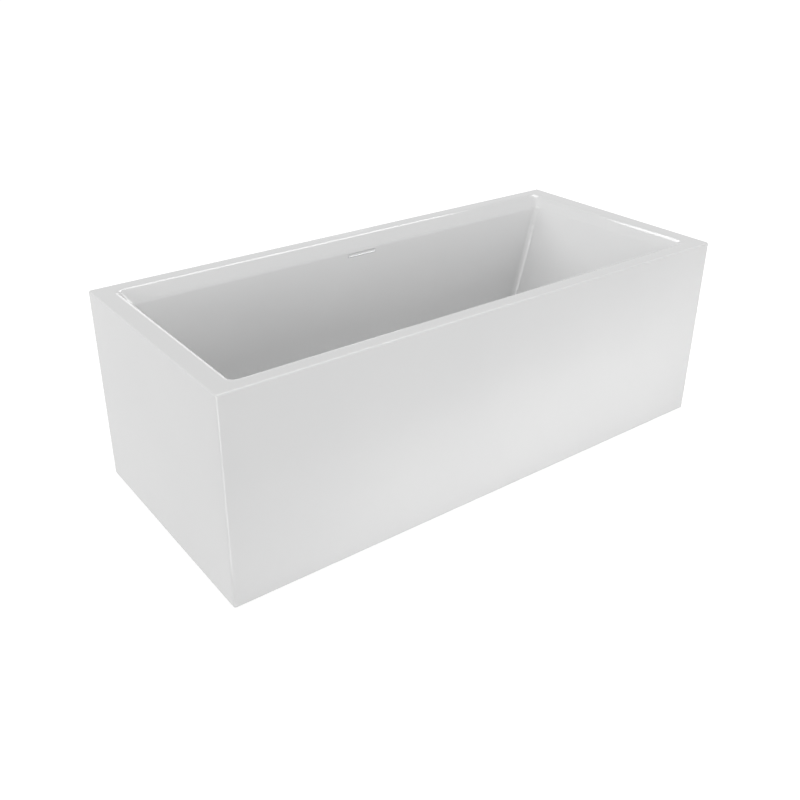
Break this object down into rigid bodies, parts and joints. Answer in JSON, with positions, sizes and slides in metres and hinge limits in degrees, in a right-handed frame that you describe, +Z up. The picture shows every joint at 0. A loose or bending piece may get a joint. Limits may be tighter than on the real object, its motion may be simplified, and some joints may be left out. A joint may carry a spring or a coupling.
{
  "type": "freestanding bathtub",
  "caption": "Rectangular freestanding bathtub with a flat rim, leaning backrests, slot overflow, push-down plug and levelling feet under a plain skirt.",
  "frame": {"origin": "on the floor, under the middle of the tub", "axes": "+X along the tub, +Y from the pictured front towards the overflow side, +Z up"},
  "size_m": [1.7, 0.75, 0.585],
  "materials": {
    "acrylic": "smooth white gloss",
    "timber": "sawn softwood",
    "board": "raw plywood",
    "frame_steel": "zinc plated",
    "fastener_steel": "zinc plated",
    "bright_metal": "polished plating",
    "brass": "machined",
    "rubber": "matt black",
    "waste_plastic": "satin white moulding",
    "foot_plastic": "matt black moulding"
  },
  "bodies": {
    "tub": {"basin_shell": "acrylic", "outer_skirt": "acrylic", "rim_batten_front": "timber", "rim_batten_back": "timber", "rim_batten_left": "timber", "rim_batten_right": "timber", "skirt_batten_front": "timber", "skirt_batten_back": "timber", "skirt_batten_left": "timber", "skirt_batten_right": "timber", "base_board": "board", "frame_rail_front": "frame_steel", "frame_rail_back": "frame_steel", "frame_cross_left": "frame_steel", "frame_cross_right": "frame_steel", "skirt_straps": "frame_steel", "foot_plates": "frame_steel", "frame_screws": "fastener_steel", "strap_screws": "fastener_steel", "overflow_screws": "fastener_steel", "lock_nuts": "fastener_steel", "overflow_trim": "bright_metal", "waste_flange": "bright_metal", "plug_cartridge": "brass", "waste_locknut": "brass", "waste_gasket_upper": "rubber", "waste_gasket_lower": "rubber", "overflow_gasket": "rubber", "waste_body": "waste_plastic", "overflow_box": "waste_plastic", "overflow_pipe": "waste_plastic", "pipe_nut_upper": "waste_plastic", "pipe_nut_lower": "waste_plastic", "rail_caps": "foot_plastic"},
    "plug": {"plug_cap": "bright_metal", "plug_seal": "rubber", "plug_stem": "brass"},
    "foot_front_left": {"foot_pad_front_left": "foot_plastic", "foot_stud_front_left": "fastener_steel"},
    "nut_front_left": {"adjusting_nut_front_left": "fastener_steel"},
    "foot_front_right": {"foot_pad_front_right": "foot_plastic", "foot_stud_front_right": "fastener_steel"},
    "nut_front_right": {"adjusting_nut_front_right": "fastener_steel"},
    "foot_back_left": {"foot_pad_back_left": "foot_plastic", "foot_stud_back_left": "fastener_steel"},
    "nut_back_left": {"adjusting_nut_back_left": "fastener_steel"},
    "foot_back_right": {"foot_pad_back_right": "foot_plastic", "foot_stud_back_right": "fastener_steel"},
    "nut_back_right": {"adjusting_nut_back_right": "fastener_steel"}
  },
  "joints": [
    {"name": "plug_lift", "type": "slide", "parent": "tub", "child": "plug", "axis": [0, 0, 1], "range_m": [0, 0.01]},
    {"name": "nut_front_left_turn", "type": "hinge", "parent": "tub", "child": "nut_front_left", "pos_m": [-0.5, -0.2, 0.076], "axis": [0, 0, 1], "range_deg": [-615, 3080]},
    {"name": "foot_front_left_level", "type": "slide", "parent": "tub", "child": "foot_front_left", "axis": [0, 0, -1], "range_m": [-0.003, 0.015]},
    {"name": "nut_front_right_turn", "type": "hinge", "parent": "tub", "child": "nut_front_right", "pos_m": [0.5, -0.2, 0.076], "axis": [0, 0, 1], "range_deg": [-615, 3080]},
    {"name": "foot_front_right_level", "type": "slide", "parent": "tub", "child": "foot_front_right", "axis": [0, 0, -1], "range_m": [-0.003, 0.015]},
    {"name": "nut_back_left_turn", "type": "hinge", "parent": "tub", "child": "nut_back_left", "pos_m": [-0.5, 0.2, 0.076], "axis": [0, 0, 1], "range_deg": [-615, 3080]},
    {"name": "foot_back_left_level", "type": "slide", "parent": "tub", "child": "foot_back_left", "axis": [0, 0, -1], "range_m": [-0.003, 0.015]},
    {"name": "nut_back_right_turn", "type": "hinge", "parent": "tub", "child": "nut_back_right", "pos_m": [0.5, 0.2, 0.076], "axis": [0, 0, 1], "range_deg": [-615, 3080]},
    {"name": "foot_back_right_level", "type": "slide", "parent": "tub", "child": "foot_back_right", "axis": [0, 0, -1], "range_m": [-0.003, 0.015]}
  ],
  "couplings": [
    {"joint": "foot_front_left_level", "follows": "nut_front_left_turn", "m_per_rad": 0.00027852},
    {"joint": "foot_front_right_level", "follows": "nut_front_right_turn", "m_per_rad": 0.00027852},
    {"joint": "foot_back_left_level", "follows": "nut_back_left_turn", "m_per_rad": 0.00027852},
    {"joint": "foot_back_right_level", "follows": "nut_back_right_turn", "m_per_rad": 0.00027852}
  ]
}
